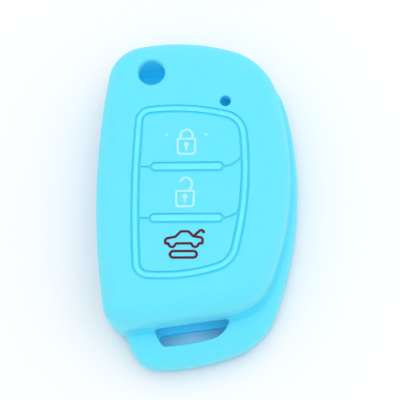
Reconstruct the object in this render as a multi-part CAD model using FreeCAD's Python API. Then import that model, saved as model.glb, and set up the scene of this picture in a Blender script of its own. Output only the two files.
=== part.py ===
"""Silicone cover for a three-button flip key, lying on its back.

Millimetres. X runs to the right, Y towards the release-button end, Z out of the front face.
The origin is under the middle of the cover, on the plane that the back lies on.
"""
import FreeCAD, Part
import math
import os

V = FreeCAD.Vector

# Overall size
WIDTH = 45.8
LENGTH = 75.6
THICKNESS = 16.5
WALL = 1.8                      # side walls and back
FRONT_WALL = 1.8
FRONT_EDGE = 4.8                # rounding of the front rim
BACK_EDGE = 3.0                 # rounding of the back rim

# Outline of the deep body: each side is a shallow arc with its crown at the given place
LEFT_CROWN_Y = 3.76
LEFT_BOW = 169.0
TOP_CROWN_X = -5.25
TOP_BOW = 45.6
RIGHT_CROWN_Y = 5.4
RIGHT_BOW = 68.3
FOOT_CROWN_X = -2.54
FOOT_SLANT = 8.6                # degrees, the foot rises to the right
FOOT_BOW = 240.0
TOP_LEFT_CORNER = 8.96
TOP_RIGHT_CORNER = 15.4
FOOT_LEFT_CORNER = 4.9
FOOT_RIGHT_CORNER = 11.0

# Back half: the low flange along the right side, which becomes the key-ring loop below the foot
FLANGE_HEIGHT = 7.8
FLANGE_REACH = 1.64             # beyond the right side of the body
FLANGE_EDGE = 2.6               # rounding of its upper rim
LOOP_REACH = 9.55               # from the crown of the foot to the end of the loop
FLANGE_CROWN_Y = 3.1
FLANGE_BOW = 82.5
LOOP_CROWN_X = -9.0
LOOP_BOW = 49.8
LOOP_CHEEK_INSET = 7.7          # left cheek of the loop, a point on it, in from the left side
LOOP_CHEEK_RISE = 5.74          # of that point above the end of the loop
LOOP_CHEEK_SLANT = 23.3         # degrees from upright
LOOP_CHEEK_BOW = 26.0
LOOP_RIGHT_CORNER = 15.1
LOOP_LEFT_CORNER = 5.5
LOOP_NECK = 1.25                # hollow corner between the foot and the cheek
CREASE = 1.0                    # rounding of the hollow edge between the front half and the back half
PARTING_STEP = 0.05             # the front half stands in by this much at the parting line

# Key-ring slot through the loop
LOOP_BAND = 4.57                # material left below the slot
SLOT_RIGHT_X = 7.4
SLOT_RIGHT_SLANT = 28.0         # degrees, the right end leans over the band
SLOT_RIGHT_BOW = 14.0
SLOT_LEFT_BAND = 6.45           # material left beside the slot, at the cheek
SLOT_ROOT = 0.35                # how far the slot reaches under the foot
SLOT_RIGHT_CORNER = 4.2
SLOT_CORNER = 1.0
SLOT_LIP = 0.35                 # rounding of its front edge
SLOT_BACK_STEP = 0.7            # the opening in the back wall starts this much further from the foot
SLOT_TOP_SHARE = 0.3            # largest roundings of the right end, as shares of its height
SLOT_FOOT_SHARE = 1.2

# Blade mouth in the left wall
MOUTH_HEIGHT = 8.0
MOUTH_FOOT_GAP = 4.0            # from the crown of the foot up to the lower end of the mouth
MOUTH_TOP_GAP = 4.4             # from the top crown down to the upper end of the mouth
MOUTH_CORNER = 2.5

# Holes in the front face
RELEASE_DIAMETER = 6.2
RELEASE_X = -10.48
RELEASE_TOP_GAP = 8.65          # from the top crown to the centre
RELEASE_LIP = 0.6
LIGHT_DIAMETER = 2.5
LIGHT_X = 6.62
LIGHT_TOP_GAP = 15.95
LIGHT_LIP = 0.35

# Button panel: its outline is the centre line of the outer groove
PANEL_LEFT_X = -14.16
PANEL_RIGHT_X = 11.94
PANEL_TOP_GAP = 17.05           # from the top crown of the body
PANEL_FOOT_GAP = 8.29           # from the foot crown of the body
PANEL_LEFT_CROWN_Y = 1.85
PANEL_LEFT_BOW = 246.0
PANEL_TOP_CROWN_X = -5.03
PANEL_TOP_BOW = 47.2
PANEL_RIGHT_CROWN_Y = 5.15
PANEL_RIGHT_BOW = 78.8
PANEL_FOOT_CROWN_X = -6.83
PANEL_FOOT_BOW = 40.0
PANEL_TOP_LEFT_CORNER = 3.4
PANEL_TOP_RIGHT_CORNER = 5.9
PANEL_FOOT_LEFT_CORNER = 3.5
PANEL_FOOT_RIGHT_CORNER = 6.6
BEZEL_PITCH = 1.45              # between the centre lines of the two grooves
GROOVE_WIDTH = 0.42
GROOVE_DEPTH = 0.22
RAISE = 0.08                    # bezel and bars stand this much above the face
SHOULDER = 0.16                 # rounding of the groove edges

# Divider bars between the buttons, by the centre line of the groove round them
BAR_X = -1.85
BAR_LENGTH = 16.2
BAR_HEIGHT = 1.87
UPPER_BAR_SHARE = 0.637         # the bars part the panel's height in three fields
LOWER_BAR_SHARE = 0.340
TAIL_SINK = 0.72                # how far the bent tails run on past the edge of the bezel's foot

# Button pads and the frame that they rest in
TRAVEL = 0.4
STOP_GAP = 0.05                 # left under the pad at full travel
PLATE = 0.5                     # thickness of the rim of a pad
LEDGE = 0.7                     # of the frame under the rim of a pad
PAD_GAP = 0.25                  # between a pad and the window that it passes through
SLIT = 0.03                     # between a pad's rim and the foot of the groove
PANEL_FIT = 0.02                # between the bezel's foot and the pocket that it lies in

POCKET = PLATE + TRAVEL + STOP_GAP
OVERCUT = 1.0                   # tools run this far past what they cut
TOUCH = 1e-6                    # what is nearer than this touches
NEAR = 1e-5                     # an edge of a joined shape lies on a surface to within this

TOP_Y = LENGTH / 2
FOOT_Y = -LENGTH / 2 + LOOP_REACH
LOOP_CHEEK_X = -WIDTH / 2 + LOOP_CHEEK_INSET
FLANGE_TOP_CORNER = TOP_RIGHT_CORNER + FLANGE_REACH
PANEL_TOP_Y = TOP_Y - PANEL_TOP_GAP
PANEL_FOOT_Y = FOOT_Y + PANEL_FOOT_GAP
UPPER_BAR_Y = PANEL_FOOT_Y + UPPER_BAR_SHARE * (PANEL_TOP_Y - PANEL_FOOT_Y)
LOWER_BAR_Y = PANEL_FOOT_Y + LOWER_BAR_SHARE * (PANEL_TOP_Y - PANEL_FOOT_Y)
PAD_LINE = BEZEL_PITCH + GROOVE_WIDTH / 2          # inset of the pads' edge from the panel outline
BASE_LINE = PAD_LINE - SLIT                        # inset of the bezel's foot
BAR_END_X = BAR_X + BAR_LENGTH / 2
TAIL_BEND = PANEL_RIGHT_X - BASE_LINE + TAIL_SINK - BAR_END_X   # bends from the bar's end to the bezel


def side(x, y, facing, bow):
    """A bowed side: its crown at (x, y), facing that many degrees from +X, as (centre, radius)."""
    outward = V(math.cos(math.radians(facing)), math.sin(math.radians(facing)), 0)
    return V(x, y, 0) - outward * bow, bow


def height_of(bowed, x, way):
    """Y of a bowed side at x: way is 1 on its upper half and -1 on its lower half."""
    centre, bow = bowed
    return centre.y + way * math.sqrt(bow * bow - (x - centre.x) ** 2)


def corner_centre(a, b, radius):
    """Centre of the arc tangent to the sides a and b. A hollow corner's radius is negative."""
    ra = a[1] - radius
    rb = b[1] - radius
    across = b[0] - a[0]
    gap = across.Length
    along = (gap * gap + ra * ra - rb * rb) / (2 * gap)
    height = math.sqrt(ra * ra - along * along)
    axis = across.normalize()
    square = V(-axis.y, axis.x, 0)
    middle = a[0] + axis * along
    first = middle + square * height
    second = middle - square * height
    # The outline runs anticlockwise, so it turns left from a to b, or right at a hollow corner
    turn = (first - a[0]).cross(first - b[0]).z
    return first if turn * radius > 0 else second


def outline(sides, corners, inset=0.0):
    """Closed wire of bowed sides with tangent corner arcs, drawn in by the inset.

    The sides run anticlockwise. Corner i joins side i to the next one, and a corner of None
    stands where the next side is itself a tangent arc inside side i.
    """
    count = len(sides)
    joints = []
    for i, radius in enumerate(corners):
        this, following = sides[i], sides[(i + 1) % count]
        if radius is None:
            ray = (following[0] - this[0]).normalize()
            joints.append((None, ray, ray))
        else:
            centre = corner_centre(this, following, radius)
            end_ray = (centre - this[0]).normalize()
            next_ray = (centre - following[0]).normalize()
            joints.append((centre, end_ray, next_ray))

    edges = []
    for i, (centre, bow) in enumerate(sides):
        turn, end_ray, next_ray = joints[i]
        start_ray = joints[i - 1][2]
        reach = bow - inset
        start = centre + start_ray * reach
        middle = centre + (start_ray + end_ray).normalize() * reach
        end = centre + end_ray * reach
        edges.append(Part.Arc(start, middle, end).toShape())
        if turn is not None:
            radius = corners[i] - inset
            turn_middle = turn + (end_ray + next_ray).normalize() * radius
            edges.append(Part.Arc(end, turn_middle, turn + next_ray * radius).toShape())
    return Part.Wire(edges)


def prism(wire, low, high):
    """The area inside a wire, raised from one height to another."""
    face = Part.Face(wire)
    face.translate(V(0, 0, low))
    return face.extrude(V(0, 0, high - low))


def rim(shape, height):
    """Edges of a shape that lie at one height."""
    return [e for e in shape.Edges
            if abs(e.BoundBox.ZMin - height) < TOUCH and abs(e.BoundBox.ZMax - height) < TOUCH]


def touching(edges, shape):
    """Those of the edges that lie against a shape."""
    return [e for e in edges if shape.distToShape(e)[0] < TOUCH]


def lying_on(edges, solid):
    """Those of the edges whose middle lies on the surface of a solid."""
    skin = solid.Shells[0]
    found = []
    for edge in edges:
        middle = edge.valueAt((edge.FirstParameter + edge.LastParameter) / 2)
        if skin.distToShape(Part.Vertex(middle))[0] < NEAR:
            found.append(edge)
    return found


def back_half(inset, low, high):
    """The back half with its flange and loop, drawn in by the inset, with both rims rounded."""
    half = prism(outline(BACK_SIDES, BACK_CORNERS, inset), low, high)
    half = half.makeFillet(FLANGE_EDGE - inset, rim(half, high))
    return half.makeFillet(BACK_EDGE - inset, rim(half, low))


def front_half(inset, high):
    """The front half, which grows out of the back half, with a rounded front rim."""
    front_outline = outline(BODY_SIDES, BODY_CORNERS, inset + PARTING_STEP)
    half = prism(front_outline, FLANGE_HEIGHT / 2, high)
    return half.makeFillet(FRONT_EDGE - inset, rim(half, high))


def box(x0, x1, y0, y1, z0, z1):
    return Part.makeBox(x1 - x0, y1 - y0, z1 - z0, V(x0, y0, z0))


BODY_SIDES = [
    side(WIDTH / 2 - FLANGE_REACH, RIGHT_CROWN_Y, 0, RIGHT_BOW),
    side(TOP_CROWN_X, TOP_Y, 90, TOP_BOW),
    side(-WIDTH / 2, LEFT_CROWN_Y, 180, LEFT_BOW),
    side(FOOT_CROWN_X, FOOT_Y, 270 + FOOT_SLANT, FOOT_BOW),
]
BODY_CORNERS = [TOP_RIGHT_CORNER, TOP_LEFT_CORNER, FOOT_LEFT_CORNER, FOOT_RIGHT_CORNER]

CHEEK_Y = -LENGTH / 2 + LOOP_CHEEK_RISE
CHEEK_SIDE = side(LOOP_CHEEK_X, CHEEK_Y, 180 + LOOP_CHEEK_SLANT, LOOP_CHEEK_BOW)
FOOT_CORNER_CENTRE = corner_centre(BODY_SIDES[2], BODY_SIDES[3], FOOT_LEFT_CORNER)
FOOT_CORNER_SIDE = (FOOT_CORNER_CENTRE, FOOT_LEFT_CORNER)
BACK_SIDES = [
    side(WIDTH / 2, FLANGE_CROWN_Y, 0, FLANGE_BOW),
    BODY_SIDES[1],
    BODY_SIDES[2],
    FOOT_CORNER_SIDE,
    CHEEK_SIDE,
    side(LOOP_CROWN_X, -LENGTH / 2, 270, LOOP_BOW),
]
BACK_CORNERS = [FLANGE_TOP_CORNER, TOP_LEFT_CORNER, None,
                -LOOP_NECK, LOOP_LEFT_CORNER, LOOP_RIGHT_CORNER]

PANEL_SIDES = [
    side(PANEL_RIGHT_X, PANEL_RIGHT_CROWN_Y, 0, PANEL_RIGHT_BOW),
    side(PANEL_TOP_CROWN_X, PANEL_TOP_Y, 90, PANEL_TOP_BOW),
    side(PANEL_LEFT_X, PANEL_LEFT_CROWN_Y, 180, PANEL_LEFT_BOW),
    side(PANEL_FOOT_CROWN_X, PANEL_FOOT_Y, 270, PANEL_FOOT_BOW),
]
PANEL_CORNERS = [PANEL_TOP_RIGHT_CORNER, PANEL_TOP_LEFT_CORNER,
                 PANEL_FOOT_LEFT_CORNER, PANEL_FOOT_RIGHT_CORNER]


def panel(inset, low, high):
    """Solid of the button panel's outline, drawn in by the inset."""
    return prism(outline(PANEL_SIDES, PANEL_CORNERS, inset), low, high)


def bar(y, grow, low, high):
    """A bar with round ends, grown beyond the centre line of the groove round it."""
    radius = BAR_HEIGHT / 2 + grow
    reach = (BAR_LENGTH - BAR_HEIGHT) / 2
    middle = box(BAR_X - reach, BAR_X + reach, y - radius, y + radius, low, high)
    ends = [Part.makeCylinder(radius, high - low, V(BAR_X + s * reach, y, low)) for s in (-1, 1)]
    return middle.multiFuse(ends).removeSplitter()


def tails(y, grow, low, high):
    """The straight left tail and the bent right tail of a divider, cut off at the bezel's foot."""
    left = box(PANEL_LEFT_X, BAR_X, y - grow, y + grow, low, high)
    straight = box(BAR_X, BAR_END_X, y - grow, y + grow, low, high)
    bend = V(BAR_END_X, y + TAIL_BEND, low)
    quarter = Part.makeCylinder(TAIL_BEND + grow, high - low, bend, V(0, 0, 1), 90)
    hollow = Part.makeCylinder(TAIL_BEND - grow, high - low, bend, V(0, 0, 1), 90)
    ring = quarter.cut(hollow)
    ring.rotate(bend, V(0, 0, 1), -90)
    path = left.multiFuse([straight, ring])
    return path.common(panel(BASE_LINE, low, high))


def divider_band(y, grow, low, high):
    """A divider's whole path from one side of the panel to the other, this much wide each way."""
    return bar(y, grow, low, high).fuse(tails(y, grow, low, high)).removeSplitter()


def hole_tool(x, y, diameter, lip):
    """Round hole through the front wall, with a rounded lip at the face."""
    radius = diameter / 2
    face = THICKNESS
    low = face - FRONT_WALL - OVERCUT
    middle = V(radius + lip * (1 - math.sqrt(0.5)), 0, face - lip * (1 - math.sqrt(0.5)))
    points = [V(0, 0, low), V(radius, 0, low), V(radius, 0, face - lip),
              V(radius + lip, 0, face), V(radius + lip, 0, face + OVERCUT), V(0, 0, face + OVERCUT)]
    edges = [Part.makeLine(points[0], points[1]), Part.makeLine(points[1], points[2]),
             Part.Arc(points[2], middle, points[3]).toShape(),
             Part.makeLine(points[3], points[4]), Part.makeLine(points[4], points[5]),
             Part.makeLine(points[5], points[0])]
    tool = Part.Face(Part.Wire(edges)).revolve(V(0, 0, 0), V(0, 0, 1), 360)
    tool.translate(V(x, y, 0))
    return tool


def slot_outline(step, grow):
    """Outline of the key-ring slot between the foot of the body and the band of the loop."""
    slope = math.radians(FOOT_SLANT)
    root = SLOT_ROOT - step
    upper_x = FOOT_CROWN_X - root * math.sin(slope)
    upper_y = FOOT_Y + root * math.cos(slope)
    right = side(SLOT_RIGHT_X, upper_y, -SLOT_RIGHT_SLANT, SLOT_RIGHT_BOW)
    upper = side(upper_x, upper_y, 90 + FOOT_SLANT, FOOT_BOW)
    left = (CHEEK_SIDE[0], LOOP_CHEEK_BOW - SLOT_LEFT_BAND)
    lower = side(LOOP_CROWN_X, -LENGTH / 2 + LOOP_BAND, 270, LOOP_BOW - LOOP_BAND)
    end_height = height_of(upper, SLOT_RIGHT_X, 1) - height_of(lower, SLOT_RIGHT_X, -1)
    corners = [min(SLOT_CORNER, SLOT_TOP_SHARE * end_height), SLOT_CORNER, SLOT_CORNER,
               min(SLOT_RIGHT_CORNER, SLOT_FOOT_SHARE * end_height)]
    return outline([right, upper, left, lower], corners, -grow)


def slot_tool():
    """Key-ring slot: a front part with a rounded lip, and a part through the back wall."""
    middle = FLANGE_HEIGHT / 2
    lip_foot = FLANGE_HEIGHT - SLOT_LIP
    front = prism(slot_outline(0.0, 0.0), middle, FLANGE_HEIGHT + SLOT_ROOT)
    back = prism(slot_outline(SLOT_BACK_STEP, 0.0), -OVERCUT, middle)
    flare = prism(slot_outline(0.0, SLOT_LIP), lip_foot, FLANGE_HEIGHT)
    bead = prism(slot_outline(0.0, SLOT_LIP + OVERCUT), lip_foot - OVERCUT, FLANGE_HEIGHT).cut(front)
    bead = bead.makeFillet(SLOT_LIP, touching(rim(bead, FLANGE_HEIGHT), front))
    return front.fuse(back).fuse(flare.cut(bead))


def mouth_tool():
    """Long rounded opening in the left wall, through which the blade swings out."""
    low_y = FOOT_Y + MOUTH_FOOT_GAP
    high_y = TOP_Y - MOUTH_TOP_GAP
    low_z = (THICKNESS - MOUTH_HEIGHT) / 2
    outside = -WIDTH / 2 - OVERCUT
    inside = -WIDTH / 2 + max(TOP_LEFT_CORNER, FOOT_LEFT_CORNER)
    tool = box(outside, inside, low_y, high_y, low_z, low_z + MOUTH_HEIGHT)
    along_x = [e for e in tool.Edges if abs(e.BoundBox.XLength - (inside - outside)) < TOUCH]
    return tool.makeFillet(MOUTH_CORNER, along_x)


def sleeve_shell():
    """The hollow moulding: deep body, low flange with its loop, and the openings in its walls."""
    back = back_half(0.0, 0.0, FLANGE_HEIGHT)
    front = front_half(0.0, THICKNESS)
    shell = back.fuse(front)
    shell = shell.makeFillet(CREASE, lying_on(lying_on(shell.Edges, back), front))
    shell = shell.cut(back_half(WALL, WALL, FLANGE_HEIGHT - WALL))
    shell = shell.cut(front_half(WALL, THICKNESS - FRONT_WALL))

    pocket = panel(-GROOVE_WIDTH / 2, THICKNESS - POCKET, THICKNESS + OVERCUT)
    shell = shell.cut(pocket)
    shell = shell.makeFillet(SHOULDER, touching(rim(shell, THICKNESS), pocket))

    below_wall = THICKNESS - FRONT_WALL - OVERCUT
    windows = panel(PAD_LINE + LEDGE, below_wall, THICKNESS)
    for y in (UPPER_BAR_Y, LOWER_BAR_Y):
        windows = windows.cut(divider_band(y, GROOVE_WIDTH / 2 + LEDGE, below_wall, THICKNESS))
    tools = [
        windows,
        hole_tool(RELEASE_X, TOP_Y - RELEASE_TOP_GAP, RELEASE_DIAMETER, RELEASE_LIP),
        hole_tool(LIGHT_X, TOP_Y - LIGHT_TOP_GAP, LIGHT_DIAMETER, LIGHT_LIP),
        slot_tool(),
        mouth_tool(),
    ]
    for tool in tools:
        shell = shell.cut(tool)
    return shell


def panel_bezel():
    """Ring between the two grooves: a wide foot that closes the grooves, and a rounded crown."""
    foot_low = THICKNESS - POCKET
    foot_high = THICKNESS - GROOVE_DEPTH
    crown_high = THICKNESS + RAISE
    crown_out = GROOVE_WIDTH / 2
    crown_in = BEZEL_PITCH - GROOVE_WIDTH / 2
    foot = panel(-GROOVE_WIDTH / 2 + PANEL_FIT, foot_low, foot_high)
    foot = foot.cut(panel(BASE_LINE, foot_low, foot_high))
    crown = panel(crown_out, foot_high, crown_high)
    crown = crown.cut(panel(crown_in, foot_high, crown_high))
    crown = crown.makeFillet(SHOULDER, rim(crown, crown_high))
    return foot.fuse(crown)


def divider_bar(y):
    """A raised bar, on a foot whose tails close the grooves between two pads."""
    foot_high = THICKNESS - GROOVE_DEPTH
    crown_high = THICKNESS + RAISE
    foot = divider_band(y, GROOVE_WIDTH / 2 - SLIT, THICKNESS - POCKET, foot_high)
    crown = bar(y, -GROOVE_WIDTH / 2, foot_high, crown_high)
    crown = crown.makeFillet(SHOULDER, rim(crown, crown_high))
    return foot.fuse(crown)


def button_pads():
    """The three pads, from the lowest to the highest: a rimmed plate on a block in its window."""
    face = THICKNESS
    under = face - PLATE
    back = face - FRONT_WALL
    step = LEDGE + PAD_GAP
    plate = panel(PAD_LINE, under, face)
    block = panel(PAD_LINE + step, back, under)
    for y in (UPPER_BAR_Y, LOWER_BAR_Y):
        plate = plate.cut(divider_band(y, GROOVE_WIDTH / 2, under, face))
        block = block.cut(divider_band(y, GROOVE_WIDTH / 2 + step, back, under))
    plates = sorted(plate.Solids, key=lambda s: s.CenterOfMass.y)
    blocks = sorted(block.Solids, key=lambda s: s.CenterOfMass.y)
    pads = []
    for top, bottom in zip(plates, blocks):
        top = top.makeFillet(SHOULDER, rim(top, face))
        pads.append(top.fuse(bottom))
    return pads


boot_pad, unlock_pad, lock_pad = button_pads()
NODES = {
    "sleeve_shell": sleeve_shell(),
    "panel_bezel": panel_bezel(),
    "upper_divider_bar": divider_bar(UPPER_BAR_Y),
    "lower_divider_bar": divider_bar(LOWER_BAR_Y),
    "lock_button_pad": lock_pad,
    "unlock_button_pad": unlock_pad,
    "boot_button_pad": boot_pad,
}

os.makedirs("parts", exist_ok=True)
for name, shape in NODES.items():
    print(name, "solids", len(shape.Solids), "valid", shape.isValid(), "volume %.1f" % shape.Volume)
    shape.exportStep("parts/" + name + ".step")
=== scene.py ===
# %% [markdown]
# A soft silicone cover for a flip key, lying on its back on white paper.
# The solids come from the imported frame, in metres, and stay where they are. This lesson gives them a
# smooth skin, a silicone finish and the printed signs on the three button fields, then sets up the
# paper, the light and the camera.

# %% Load the frame
import math

import bmesh
import bpy
from mathutils import Matrix, Vector


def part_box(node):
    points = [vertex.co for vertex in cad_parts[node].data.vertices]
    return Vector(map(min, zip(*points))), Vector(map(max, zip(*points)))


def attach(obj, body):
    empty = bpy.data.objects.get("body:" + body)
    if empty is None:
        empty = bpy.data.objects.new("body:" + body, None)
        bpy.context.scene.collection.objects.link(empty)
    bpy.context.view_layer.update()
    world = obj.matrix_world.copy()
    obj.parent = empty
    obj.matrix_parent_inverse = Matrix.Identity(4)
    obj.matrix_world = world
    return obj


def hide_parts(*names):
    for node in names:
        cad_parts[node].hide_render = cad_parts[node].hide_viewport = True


MM = 0.001

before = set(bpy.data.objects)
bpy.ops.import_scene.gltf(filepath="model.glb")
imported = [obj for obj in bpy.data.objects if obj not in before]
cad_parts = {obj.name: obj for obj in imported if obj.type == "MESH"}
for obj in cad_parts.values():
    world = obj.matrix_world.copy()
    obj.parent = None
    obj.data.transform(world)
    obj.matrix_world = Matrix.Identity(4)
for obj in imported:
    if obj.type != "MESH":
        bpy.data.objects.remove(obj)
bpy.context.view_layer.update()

# %% [markdown]
# Node trees are easiest to read when each node is made in one line. Blender's own way takes a line for
# every socket, so these helpers add a node, set the sockets that hold a plain value, and link the
# others. They serve the shader groups, the materials and the geometry tree alike.

# %% Helpers for single nodes
def feed(tree, socket, value):
    """Links an output to this socket, or sets the socket to a plain value."""
    if isinstance(value, bpy.types.NodeSocket):
        tree.links.new(value, socket)
    else:
        socket.default_value = value


def feed_named(tree, node, **sockets):
    """Feeds the sockets with these names, in which _ stands for a space."""
    for name, value in sockets.items():
        label = name.replace("_", " ")
        feed(tree, next(s for s in node.inputs if s.name == label and s.enabled), value)


def add_node(tree, kind, settings=None, **sockets):
    """A new node of this kind, with its settings made and its sockets fed."""
    node = tree.nodes.new(kind)
    for name, value in (settings or {}).items():
        setattr(node, name, value)
    feed_named(tree, node, **sockets)
    return node


def calculate(tree, operation, first, second):
    """The result of a Math node, whose two inputs have the same name and are fed in order."""
    node = add_node(tree, "ShaderNodeMath", {"operation": operation})
    feed(tree, node.inputs[0], first)
    feed(tree, node.inputs[1], second)
    return node.outputs["Value"]


def mix_colours(tree, first, second, share):
    """The mix of two colours. A Mix node has an output for each kind of data, and one is in use."""
    node = add_node(tree, "ShaderNodeMix", {"data_type": "RGBA"}, A=first, B=second, Factor=share)
    return next(s for s in node.outputs if s.enabled)


# %% [markdown]
# A group is a tree with named sockets of its own, which other trees use as one node. A material starts
# as a tree that holds a Principled shader. Both are made often enough here to have a helper.

# %% Helpers for groups, materials and objects
COLOUR = "NodeSocketColor"
NUMBER = "NodeSocketFloat"
OPAQUE = (1.0,)


def add_group(name, tree_type, inputs, outputs):
    """An empty node group with named sockets, as (tree, its inputs by name, the output node)."""
    tree = bpy.data.node_groups.new(name, tree_type)
    for label, kind in inputs.items():
        tree.interface.new_socket(label, in_out="INPUT", socket_type=kind)
    for label, kind in outputs.items():
        tree.interface.new_socket(label, in_out="OUTPUT", socket_type=kind)
    source = tree.nodes.new("NodeGroupInput")
    return tree, source.outputs, tree.nodes.new("NodeGroupOutput")


def add_material(name):
    """A new material, as (material, its tree, its Principled shader)."""
    material = bpy.data.materials.new(name)
    material.use_nodes = True
    return material, material.node_tree, material.node_tree.nodes["Principled BSDF"]


def add_object(name, data):
    """A new object in the scene, at the origin."""
    thing = bpy.data.objects.new(name, data)
    bpy.context.scene.collection.objects.link(thing)
    return thing


# %% [markdown]
# Silicone isn't one flat colour. Seen close, the moulding has faint cloudy patches where the pigment
# settled, and a fine satin grain from the blasted mould. A painted texture could show both, but two
# noises on Object coordinates need no unwrapping, and the same skin runs on across the sleeve, the trim
# and the pads. Down in a groove, light goes to and fro between blue walls until little red is left in
# it. The group finds such places with Ambient Occlusion over a short distance, and paints a darker,
# deeper blue there as painted shade.

# %% The silicone skin as a shader group
# How much of the sky is open, as a share: on a free face, and deep in a groove.
SKY_SAMPLES = 8
OPEN_FACE = 0.97
DEEP_GROOVE = 0.58


def silicone_group():
    tree, given, result = add_group(
        "silicone_skin", "ShaderNodeTree",
        {"Tone": COLOUR, "Cloud tone": COLOUR, "Groove tone": COLOUR, "Cloud scale": NUMBER,
         "Grain scale": NUMBER, "Groove reach": NUMBER, "Satin": NUMBER, "Polish": NUMBER},
        {"Colour": COLOUR, "Roughness": NUMBER, "Height": NUMBER})
    place = add_node(tree, "ShaderNodeTexCoord").outputs["Object"]
    clouds = add_node(tree, "ShaderNodeTexNoise", Vector=place, Scale=given["Cloud scale"],
                      Detail=3.0, Roughness=0.55).outputs["Fac"]
    grain = add_node(tree, "ShaderNodeTexNoise", Vector=place, Scale=given["Grain scale"],
                     Detail=2.0, Roughness=0.6).outputs["Fac"]
    clouded = mix_colours(tree, given["Tone"], given["Cloud tone"], clouds)
    rough = add_node(tree, "ShaderNodeMapRange", Value=grain, To_Min=given["Polish"],
                     To_Max=given["Satin"]).outputs["Result"]
    open_sky = add_node(tree, "ShaderNodeAmbientOcclusion", {"samples": SKY_SAMPLES},
                        Distance=given["Groove reach"]).outputs["AO"]
    depth = add_node(tree, "ShaderNodeMapRange", Value=open_sky, From_Min=OPEN_FACE,
                     From_Max=DEEP_GROOVE).outputs["Result"]
    # Painted shade: where less sky is open, the colour turns a darker, deeper blue.
    groove_shaded = mix_colours(tree, clouded, given["Groove tone"], depth)
    feed_named(tree, result, Colour=groove_shaded, Roughness=rough, Height=grain)
    return tree


SILICONE_SKIN = silicone_group()
print("shader group", SILICONE_SKIN.name, "with", len(SILICONE_SKIN.nodes), "nodes")

# %% [markdown]
# Light goes a little way into silicone before it comes out again, which softens every edge. The
# Principled shader does this with subsurface scattering, and its distances are real ones: red light is
# soaked up at once by the blue pigment, while green and blue go on. The bezel and the bars get a paler
# copy of the colour, a painted highlight for the light that reaches a thin raised strip from both
# sides.

# %% Silicone materials
# A noise of scale 90 has patches of about a centimetre, and one of 3800 has a grain of a quarter of a
# millimetre. The colours have a reach each, red first, as shares of the skin depth.
CLOUD_SCALE = 90.0
GRAIN_SCALE = 3800.0
GRAIN_HEIGHT = 0.006 * MM
SATIN = 0.62
POLISH = 0.46
GROOVE_REACH = 2.0 * MM
SKIN_DEPTH = 0.3 * MM
DEPTH_BY_COLOUR = (0.15, 0.8, 1.0)
# The darker blue that is painted into the grooves as shade.
GROOVE_SHADE_BLUE = (0.000, 0.630, 0.970)
SKY_BLUE = (0.148, 0.748, 0.995)
SKY_BLUE_CLOUD = (0.154, 0.755, 0.995)
# A paler copy of the sky blue for the bezel and bars: painted highlight.
SKY_BLUE_PAINTED_LIGHT = (0.180, 0.800, 0.995)
SKY_BLUE_PAINTED_LIGHT_CLOUD = (0.186, 0.806, 0.995)


def silicone_material(name, tone, cloud_tone):
    material, tree, shader = add_material(name)
    skin = add_node(tree, "ShaderNodeGroup", {"node_tree": SILICONE_SKIN}, Tone=tone + OPAQUE,
                    Cloud_tone=cloud_tone + OPAQUE, Groove_tone=GROOVE_SHADE_BLUE + OPAQUE,
                    Cloud_scale=CLOUD_SCALE, Grain_scale=GRAIN_SCALE, Groove_reach=GROOVE_REACH,
                    Satin=SATIN, Polish=POLISH)
    bump = add_node(tree, "ShaderNodeBump", Height=skin.outputs["Height"], Distance=GRAIN_HEIGHT,
                    Strength=1.0)
    feed_named(tree, shader, Base_Color=skin.outputs["Colour"], Roughness=skin.outputs["Roughness"],
               Normal=bump.outputs["Normal"], IOR=1.41, Specular_IOR_Level=0.35)
    feed_named(tree, shader, Subsurface_Weight=1.0, Subsurface_Radius=DEPTH_BY_COLOUR,
               Subsurface_Scale=SKIN_DEPTH)
    feed_named(tree, shader, Sheen_Weight=0.06, Sheen_Roughness=0.5)
    return material


sleeve_silicone = silicone_material("sleeve_silicone", SKY_BLUE, SKY_BLUE_CLOUD)
# The trim's paler blue is a painted highlight.
trim_silicone = silicone_material("trim_silicone", SKY_BLUE_PAINTED_LIGHT, SKY_BLUE_PAINTED_LIGHT_CLOUD)
pad_silicone = silicone_material("pad_silicone", SKY_BLUE, SKY_BLUE_CLOUD)
print("materials", [m.name for m in bpy.data.materials if m.name.endswith("silicone")])

# %% [markdown]
# To the touch the cover is one smooth moulding. A CAD node arrives as loose triangles, so its rounded
# rims would show facets. Subdividing would soften them, but it would also change the shape. Instead, a
# copy of each node is welded and shaded smooth, with its real edges kept sharp. Weighting the normals
# by face area keeps the flat faces flat right up to where a rounding starts.

# %% Smooth skins over the solids
WELD = 0.0005 * MM
SHARP_EDGE = math.radians(28)
LARGE_FACES_FIRST = 100


def settle(piece):
    """Makes the result of a piece's modifiers its plain mesh."""
    graph = bpy.context.evaluated_depsgraph_get()
    finished = bpy.data.meshes.new_from_object(piece.evaluated_get(graph))
    piece.modifiers.clear()
    piece.data = finished


def smooth_skin(node, piece_name, body, material):
    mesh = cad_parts[node].data.copy()
    mesh.name = piece_name
    work = bmesh.new()
    work.from_mesh(mesh)
    bmesh.ops.remove_doubles(work, verts=work.verts, dist=WELD)
    for face in work.faces:
        face.smooth = True
    for edge in work.edges:
        edge.smooth = edge.is_manifold and edge.calc_face_angle(0.0) < SHARP_EDGE
    work.to_mesh(mesh)
    work.free()
    mesh.materials.clear()
    mesh.materials.append(material)
    piece = add_object(piece_name, mesh)
    weighted = piece.modifiers.new("even_normals", "WEIGHTED_NORMAL")
    weighted.keep_sharp = True
    weighted.weight = LARGE_FACES_FIRST
    settle(piece)
    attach(piece, body)
    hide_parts(node)
    print(piece_name, "has", len(piece.data.polygons), "faces")


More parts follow.
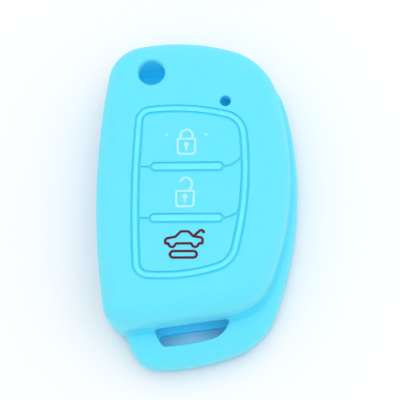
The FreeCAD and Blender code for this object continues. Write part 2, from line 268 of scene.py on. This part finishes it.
smooth_skin("sleeve_shell", "silicone_sleeve", "sleeve", sleeve_silicone)
smooth_skin("panel_bezel", "silicone_bezel", "sleeve", trim_silicone)
for place in ("upper", "lower"):
    smooth_skin(place + "_divider_bar", "silicone_%s_bar" % place, "sleeve", trim_silicone)
for button in ("lock", "unlock", "boot"):
    smooth_skin(button + "_button_pad", "silicone_%s_pad" % button, button + "_pad", pad_silicone)

# %% [markdown]
# The signs on the pads are pad-printed: a stamp of soft rubber leaves lines of ink that stand a hair
# above the face. They could be painted into the material, but a line of real ink keeps a clean edge
# from any distance. Each sign starts as the centre lines of its strokes. The first part of the tree
# makes curves of them and rounds their corners. The radius of each corner and the weight of each line
# are attributes of the points.

# %% Centre lines for the printing tree
CORNER_STEPS = 8


def point_value(tree, name):
    """The value that each point holds under this name."""
    node = add_node(tree, "GeometryNodeInputNamedAttribute", {"data_type": "FLOAT"}, Name=name)
    return node.outputs["Attribute"]


def centre_lines(tree, edges, weight):
    """Curves along a mesh's edges, with rounded corners, as thick as their weight says."""
    lines = add_node(tree, "GeometryNodeMeshToCurve", Mesh=edges).outputs["Curve"]
    rounded = add_node(tree, "GeometryNodeFilletCurve", {"mode": "POLY"}, Curve=lines,
                       Radius=point_value(tree, "corner"), Count=CORNER_STEPS, Limit_Radius=True)
    sized = add_node(tree, "GeometryNodeSetCurveRadius", Curve=rounded.outputs["Curve"], Radius=weight)
    return sized.outputs["Curve"]


# %% [markdown]
# The second part sweeps a round profile along the curves and puts a ball at each loose end, where a
# stamp leaves a round tip. The whole is then pressed flat and lifted to the face, so that each line is
# a low dome of ink.

# %% The printing tree
ROUND_STEPS = 12
BALL_RINGS = 8


def print_tree():
    tree, given, result = add_group(
        "printed_lines", "GeometryNodeTree",
        {"Geometry": "NodeSocketGeometry", "Line width": NUMBER, "Ink height": NUMBER,
         "Face height": NUMBER, "Ink": "NodeSocketMaterial"},
        {"Geometry": "NodeSocketGeometry"})
    weight = point_value(tree, "weight")
    lines = centre_lines(tree, given["Geometry"], weight)
    radius = calculate(tree, "MULTIPLY", given["Line width"], 0.5)
    section = add_node(tree, "GeometryNodeCurvePrimitiveCircle", Resolution=ROUND_STEPS, Radius=radius)
    swept = add_node(tree, "GeometryNodeCurveToMesh", Curve=lines,
                     Profile_Curve=section.outputs["Curve"], Fill_Caps=True)
    ball = add_node(tree, "GeometryNodeMeshUVSphere", Segments=ROUND_STEPS, Rings=BALL_RINGS,
                    Radius=radius)
    ends = add_node(tree, "GeometryNodeCurveEndpointSelection")
    tips = add_node(tree, "GeometryNodeInstanceOnPoints", Points=lines,
                    Selection=ends.outputs["Selection"], Instance=ball.outputs["Mesh"], Scale=weight)
    joined = add_node(tree, "GeometryNodeJoinGeometry")
    for ink in (swept.outputs["Mesh"], tips.outputs["Instances"]):
        feed_named(tree, joined, Geometry=ink)
    whole = add_node(tree, "GeometryNodeRealizeInstances", Geometry=joined.outputs["Geometry"])
    flatness = calculate(tree, "DIVIDE", given["Ink height"], radius)
    squeeze = add_node(tree, "ShaderNodeCombineXYZ", X=1.0, Y=1.0, Z=flatness)
    lift = add_node(tree, "ShaderNodeCombineXYZ", Z=given["Face height"])
    pressed = add_node(tree, "GeometryNodeTransform", Geometry=whole.outputs["Geometry"],
                       Translation=lift.outputs["Vector"], Scale=squeeze.outputs["Vector"])
    inked = add_node(tree, "GeometryNodeSetMaterial", Geometry=pressed.outputs["Geometry"],
                     Material=given["Ink"])
    feed_named(tree, result, Geometry=inked.outputs["Geometry"])
    return tree


PRINT_TREE = print_tree()
print("geometry tree", PRINT_TREE.name, "with", len(PRINT_TREE.nodes), "nodes")

# %% [markdown]
# The inks are matt and a little uneven, because the stamp lets go of them in small flecks. Two
# materials share one group for that: a pale ink for the padlocks and a dark red one for the boot.

# %% Inks
FLECK_SCALE = 2500.0
FULL_INK_UP_TO = 0.42
THIN_INK_FROM = 0.72
PALE_INK = (0.43, 0.84, 0.95)
PALE_INK_THIN = (0.30, 0.79, 0.95)
RED_INK = (0.082, 0.001, 0.024)
RED_INK_THIN = (0.115, 0.003, 0.036)


def ink_group():
    tree, given, result = add_group(
        "ink_film", "ShaderNodeTree", {"Ink": COLOUR, "Thin ink": COLOUR, "Fleck scale": NUMBER},
        {"Colour": COLOUR, "Roughness": NUMBER})
    place = add_node(tree, "ShaderNodeTexCoord").outputs["Object"]
    flecks = add_node(tree, "ShaderNodeTexNoise", Vector=place, Scale=given["Fleck scale"],
                      Detail=2.0).outputs["Fac"]
    thin = add_node(tree, "ShaderNodeMapRange", Value=flecks, From_Min=FULL_INK_UP_TO,
                    From_Max=THIN_INK_FROM).outputs["Result"]
    colour = mix_colours(tree, given["Ink"], given["Thin ink"], thin)
    rough = add_node(tree, "ShaderNodeMapRange", Value=flecks, To_Min=0.5, To_Max=0.7)
    feed_named(tree, result, Colour=colour, Roughness=rough.outputs["Result"])
    return tree


INK_FILM = ink_group()


def ink_material(name, ink, thin_ink):
    material, tree, shader = add_material(name)
    film = add_node(tree, "ShaderNodeGroup", {"node_tree": INK_FILM}, Ink=ink + OPAQUE,
                    Thin_ink=thin_ink + OPAQUE, Fleck_scale=FLECK_SCALE)
    feed_named(tree, shader, Base_Color=film.outputs["Colour"], Roughness=film.outputs["Roughness"],
               Specular_IOR_Level=0.25)
    return material


pale_ink = ink_material("pale_ink", PALE_INK, PALE_INK_THIN)
red_ink = ink_material("red_ink", RED_INK, RED_INK_THIN)
print("inks", pale_ink.name, red_ink.name)

# %% [markdown]
# A sign is a list of lines, and a line is a list of points in millimetres on the face, each with the
# radius of its corner. The points are the few that the drawing needs, and the tree rounds them off.
# A sign rides on its pad, so that it sinks with the pad when the pad is pressed.

# %% Drawing a sign
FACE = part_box("lock_button_pad")[1].z
LINE_WIDTH = 0.58 * MM
INK_HEIGHT = 0.03 * MM


def line(points, closed=False, weight=1.0):
    return {"points": points, "closed": closed, "weight": weight}


def line_mesh(name, lines):
    """A mesh of loose edges along the lines, whose points hold their corner and their weight."""
    places, edges, corners, weights = [], [], [], []
    for entry in lines:
        first = len(places)
        count = len(entry["points"])
        for x, y, corner in entry["points"]:
            places.append((x * MM, y * MM, 0.0))
            corners.append(corner * MM)
            weights.append(entry["weight"])
        edges += [(first + i, first + i + 1) for i in range(count - 1)]
        if entry["closed"]:
            edges.append((first + count - 1, first))
    mesh = bpy.data.meshes.new(name)
    mesh.from_pydata(places, edges, [])
    for label, values in (("corner", corners), ("weight", weights)):
        mesh.attributes.new(label, "FLOAT", "POINT").data.foreach_set("value", values)
    return mesh


def print_sign(name, lines, body, ink):
    piece = add_object(name, line_mesh(name + "_lines", lines))
    modifier = piece.modifiers.new("printing", "NODES")
    modifier.node_group = PRINT_TREE
    values = {"Line width": LINE_WIDTH, "Ink height": INK_HEIGHT, "Face height": FACE, "Ink": ink}
    for item in PRINT_TREE.interface.items_tree:
        if item.in_out == "INPUT" and item.name in values:
            modifier[item.identifier] = values[item.name]
    settle(piece)
    for polygon in piece.data.polygons:
        polygon.use_smooth = True
    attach(piece, body)
    print(name, "has", len(lines), "lines and", len(piece.data.polygons), "faces")


print("pad face at", round(FACE / MM, 3), "mm")

# %% [markdown]
# Both padlocks share a body and a keyhole. The shut one has its bow seated in the body, and the open
# one has its bow swung round on its right leg. Two small dots stand beside the shut one.

# %% Padlocks
# Sizes are in millimetres, and a weight is a share of the line width.
BODY_WIDTH = 3.9
BODY_HEIGHT = 3.58
BODY_CORNER = 0.75
BODY_TOP_CORNER = 0.08
KEYHOLE_DROP = 1.3
KEYHOLE_RADIUS = 0.36
KEYHOLE_STEPS = 12
KEYHOLE_TAIL = 1.35
KEYHOLE_WEIGHT = 0.45


def padlock_body(x, y):
    """Body and keyhole of a padlock whose upper edge has its middle at (x, y)."""
    half = BODY_WIDTH / 2
    foot = y - BODY_HEIGHT
    outline = [(x - half, y, BODY_TOP_CORNER), (x - half, foot, BODY_CORNER),
               (x + half, foot, BODY_CORNER), (x + half, y, BODY_TOP_CORNER)]
    eye = y - KEYHOLE_DROP
    turns = [math.tau * i / KEYHOLE_STEPS for i in range(KEYHOLE_STEPS)]
    ring = [(x + KEYHOLE_RADIUS * math.cos(a), eye + KEYHOLE_RADIUS * math.sin(a), 0.0) for a in turns]
    tail = [(x, eye - KEYHOLE_RADIUS, 0.0), (x, eye - KEYHOLE_TAIL, 0.0)]
    return [line(outline, closed=True), line(ring, closed=True, weight=KEYHOLE_WEIGHT),
            line(tail, weight=KEYHOLE_WEIGHT)]


# The points of a bow are given from the middle of the body's upper edge.
SHUT_BOW_LEFT = [(-1.26, 0.0, 0.0), (-1.38, 0.6, 0.5), (-1.38, 2.22, 1.38)]
SHUT_BOW = SHUT_BOW_LEFT + [(-x, y, corner) for x, y, corner in reversed(SHUT_BOW_LEFT)]
OPEN_BOW = [(0.76, 0.0, 0.0), (1.50, 1.1, 0.9), (1.50, 3.15, 1.35), (-0.55, 3.15, 1.1),
            (-1.08, 2.25, 0.0)]


def padlock(x, y, bow):
    return padlock_body(x, y) + [line([(x + right, y + above, corner) for right, above, corner in bow])]


print_sign("lock_sign", padlock(-2.10, 12.60, SHUT_BOW), "lock_pad", pale_ink)

# %% [markdown]
# A dot is a line so short that its two round tips run into one. The open padlock has the same body as
# the shut one, so only its bow is new.

# %% Dots and the open padlock
DOT_HALF_LENGTH = 0.05
DOT_WEIGHT = 0.95


def dot(x, y):
    return line([(x - DOT_HALF_LENGTH, y, 0.0), (x + DOT_HALF_LENGTH, y, 0.0)], weight=DOT_WEIGHT)


print_sign("light_dots", [dot(-6.52, 13.66), dot(2.35, 13.62)], "lock_pad", pale_ink)
print_sign("unlock_sign", padlock(-2.19, 0.20, OPEN_BOW), "unlock_pad", pale_ink)

# %% [markdown]
# The boot sign is the outline of a saloon with its boot lid up. It is one closed line that dips round
# two wheels, and a short line for the lid. A plain outlined lozenge stands under it.

# %% Boot sign
RED_WEIGHT = 1.2
SILL = -11.96
WHEEL_FOOT = -12.75
CAR = [(-6.40, SILL, 0.25), (-6.40, -10.85, 0.65), (-4.15, -10.42, 0.6), (-2.98, -9.19, 0.5),
       (-1.28, -9.19, 0.5), (-0.20, -10.34, 0.3), (1.86, -10.65, 0.65), (1.86, SILL, 0.25),
       (1.12, SILL, 0.2), (0.62, WHEEL_FOOT, 0.5), (-0.20, WHEEL_FOOT, 0.5), (-0.62, SILL, 0.2),
       (-3.98, SILL, 0.2), (-4.50, WHEEL_FOOT, 0.5), (-5.32, WHEEL_FOOT, 0.5), (-5.70, SILL, 0.2)]
LID = [(-0.10, -10.28, 0.0), (1.32, -8.94, 0.4), (1.85, -8.98, 0.25), (2.08, -9.35, 0.0)]
print_sign("boot_sign", [line(CAR, closed=True, weight=RED_WEIGHT), line(LID, weight=RED_WEIGHT)],
           "boot_pad", red_ink)

LOZENGE_X = -2.34
LOZENGE_Y = -14.46
LOZENGE_HALF_WIDTH = 2.95
LOZENGE_HALF_HEIGHT = 0.74
LOZENGE = [(LOZENGE_X + side * LOZENGE_HALF_WIDTH, LOZENGE_Y + level * LOZENGE_HALF_HEIGHT,
            LOZENGE_HALF_HEIGHT)
           for side, level in ((-1, -1), (1, -1), (1, 1), (-1, 1))]
print_sign("boot_lozenge", [line(LOZENGE, closed=True, weight=RED_WEIGHT)], "boot_pad", red_ink)

# %% [markdown]
# The cover lies on plain white paper. Paper that is lit like the cover would come out a little grey, so
# the paper adds some light of its own for what the camera sees directly, or by a reflection. The
# light that falls on it still makes the soft shadow round the cover. Deep in the key-ring slot, paper
# gets most of its light through blue silicone, which the renderer can't follow. So Ambient Occlusion
# finds that place, as it finds the grooves, and the paper is tinted there.

# %% White paper
PAPER_SIZE = 1.6
PAPER_WHITE = (0.88, 0.88, 0.88)
PAPER_GLOW = 0.02
PAPER_IN_SLOT = (0.17, 0.46, 0.57)
SLOT_REACH = 10.0 * MM
# The shares of open sky at which the tint starts and is full.
SLOT_MOUTH = 0.45
SLOT_DEPTH = 0.29
WHITE = (1.0, 1.0, 1.0)


def paper_material():
    material, tree, shader = add_material("white_paper")
    open_sky = add_node(tree, "ShaderNodeAmbientOcclusion", {"samples": SKY_SAMPLES},
                        Distance=SLOT_REACH).outputs["AO"]
    depth = add_node(tree, "ShaderNodeMapRange", Value=open_sky, From_Min=SLOT_MOUTH,
                     From_Max=SLOT_DEPTH).outputs["Result"]
    colour = mix_colours(tree, PAPER_WHITE + OPAQUE, PAPER_IN_SLOT + OPAQUE, depth)
    path = add_node(tree, "ShaderNodeLightPath")
    seen = path.outputs["Is Camera Ray"]
    for label in ("Is Glossy Ray", "Is Transmission Ray"):
        seen = calculate(tree, "MAXIMUM", seen, path.outputs[label])
    glow = calculate(tree, "MULTIPLY", seen, PAPER_GLOW)
    feed_named(tree, shader, Base_Color=colour, Roughness=0.9, Specular_IOR_Level=0.1,
               Emission_Color=WHITE + OPAQUE, Emission_Strength=glow)
    return material


paper_mesh = bpy.data.meshes.new("paper")
half = PAPER_SIZE / 2
paper_mesh.from_pydata([(-half, -half, 0), (half, -half, 0), (half, half, 0), (-half, half, 0)], [],
                       [(0, 1, 2, 3)])
paper_mesh.materials.append(paper_material())
paper = add_object("paper", paper_mesh)
print("paper", PAPER_SIZE, "m square")

# %% [markdown]
# A product photo like this uses a light tent: white light from all round, and a large soft lamp high
# up on the right. The world gives the tent, and one area lamp gives the direction. Both are plain
# white, so the silicone shows the colour that its material holds.

# %% Light
# The place and the size of the softbox are in metres, and its power is in watts.
TENT_LIGHT = 0.93
SOFTBOX_PLACE = (0.12, 0.06, 0.67)
SOFTBOX_SIZE = (0.85, 0.85)
SOFTBOX_POWER = 1.4
ORIGIN = (0.0, 0.0, 0.0)

world = bpy.data.worlds.new("light_tent")
world.use_nodes = True
sky = world.node_tree.nodes["Background"]
feed_named(world.node_tree, sky, Color=WHITE + OPAQUE, Strength=TENT_LIGHT)
bpy.context.scene.world = world


def soft_lamp(name, place, target, size, power, colour):
    """A lamp of this width and length, at a place in metres, turned to a target."""
    lamp = bpy.data.lights.new(name, "AREA")
    lamp.shape = "RECTANGLE"
    lamp.size, lamp.size_y = size
    lamp.energy = power
    lamp.color = colour
    holder = add_object(name, lamp)
    holder.location = place
    holder.rotation_euler = (Vector(target) - Vector(place)).to_track_quat("-Z", "Y").to_euler()
    return holder


softbox = soft_lamp("softbox", SOFTBOX_PLACE, ORIGIN, SOFTBOX_SIZE, SOFTBOX_POWER, WHITE)
print(softbox.name, "of", SOFTBOX_POWER, "W in a tent of strength", TENT_LIGHT)

# %% [markdown]
# Thin silicone lets blue light into the hollow, but the renderer follows light through a wall only at
# the first surface that the camera sees. Two dim blue lamps stand for the light that came through:
# one under the roof of the body, and one in the loop. They can't be seen, and they aren't part of the
# cover.

# %% Light in the hollow
GLOW_BLUE = (0.0, 0.72, 1.0)
# Each lamp has its place, the point that it is turned to and its size, in millimetres, then its watts.
HOLLOW_LAMPS = {"body_glow": ((-8.0, 9.0, 14.0), (-8.0, 9.0, 0.0), (14, 46), 0.0021),
                "loop_glow": ((0.5, -33.0, 5.5), (0.5, -28.5, 1.0), (18, 3), 0.00028)}

for name, (place, target, size, power) in HOLLOW_LAMPS.items():
    lamp = soft_lamp(name, Vector(place) * MM, Vector(target) * MM, [s * MM for s in size], power,
                     GLOW_BLUE)
    lamp.visible_camera = False
    lamp.visible_glossy = False

# %% [markdown]
# The camera looks down at the face from the foot end. Its tilt follows from how much of the foot wall
# and of the loop shows, and its distance from how the grooves of the panel draw together. Its axes are
# worked out one by one: the view direction first, then the right and up directions, turned by the roll.

# %% Camera
CAMERA_PLACE = Vector((20.855, -93.425, 298.05)) * MM
CAMERA_TILT = math.radians(18.0)
CAMERA_SWING = math.radians(4.0)
CAMERA_ROLL = math.radians(-0.4)
CAMERA_LENS = 120.0
CAMERA_SENSOR = 36.0
CAMERA_NEAR = 0.01

back = Vector((math.tan(CAMERA_SWING), -math.tan(CAMERA_TILT), 1.0)).normalized()
right = Vector((1, 0, 0))
right = (right - back * right.dot(back)).normalized()
up = back.cross(right)
turned_right = right * math.cos(CAMERA_ROLL) + up * math.sin(CAMERA_ROLL)
turned_up = up * math.cos(CAMERA_ROLL) - right * math.sin(CAMERA_ROLL)
lens = bpy.data.cameras.new("camera")
lens.lens = CAMERA_LENS
lens.sensor_width = CAMERA_SENSOR
lens.clip_start = CAMERA_NEAR
camera = add_object("camera", lens)
axes = Matrix((turned_right, turned_up, back)).transposed().to_4x4()
camera.matrix_world = Matrix.Translation(CAMERA_PLACE) @ axes
bpy.context.scene.camera = camera
bpy.context.scene.view_settings.view_transform = "Standard"
print("camera at", [round(c, 4) for c in CAMERA_PLACE])
